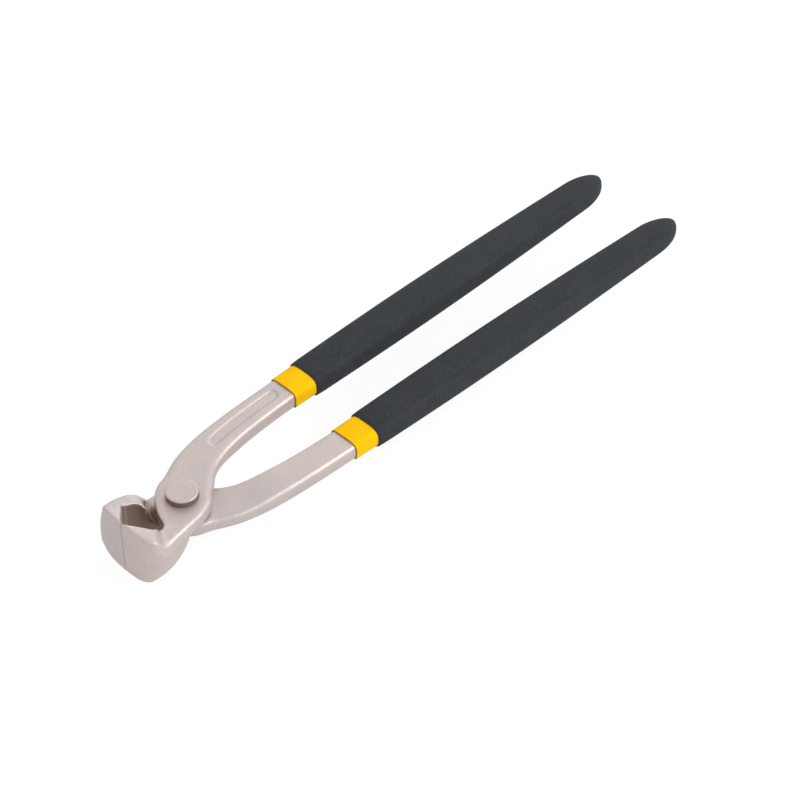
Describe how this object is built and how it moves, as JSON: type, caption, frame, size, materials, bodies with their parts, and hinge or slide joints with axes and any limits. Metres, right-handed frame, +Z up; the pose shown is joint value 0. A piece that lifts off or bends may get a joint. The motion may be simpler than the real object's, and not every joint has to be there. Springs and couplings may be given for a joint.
{
  "type": "end-cutting nippers",
  "caption": "Long-handled end-cutting nippers: forged levers lapped on a rivet, rounded jaws meeting at straight edges, handles dipped in yellow then black plastic.",
  "frame": {"origin": "middle of the bounding box, at the level of the lower ends of the jaws", "axes": "+X from the jaws to the handle ends, +Z up along the rivet, +Y towards the upper lever's handle"},
  "size_m": [0.28, 0.0544, 0.0252],
  "materials": {
    "forged_steel": "satin plated forging, shot-blasted before plating",
    "rivet_steel": "satin plated, turned head",
    "yellow_dip": "smooth dipped vinyl",
    "black_dip": "fine-grained dipped vinyl"
  },
  "bodies": {
    "lower_half": {"lower_lever": "forged_steel", "lower_undercoat": "yellow_dip", "lower_grip": "black_dip", "pivot_rivet": "rivet_steel"},
    "upper_half": {"upper_lever": "forged_steel", "upper_undercoat": "yellow_dip", "upper_grip": "black_dip"}
  },
  "joints": [
    {"name": "jaw_pivot", "type": "hinge", "parent": "lower_half", "child": "upper_half", "pos_m": [-0.1114, 0, 0.0126], "axis": [0, 0, 1], "range_deg": [0, 40]}
  ]
}
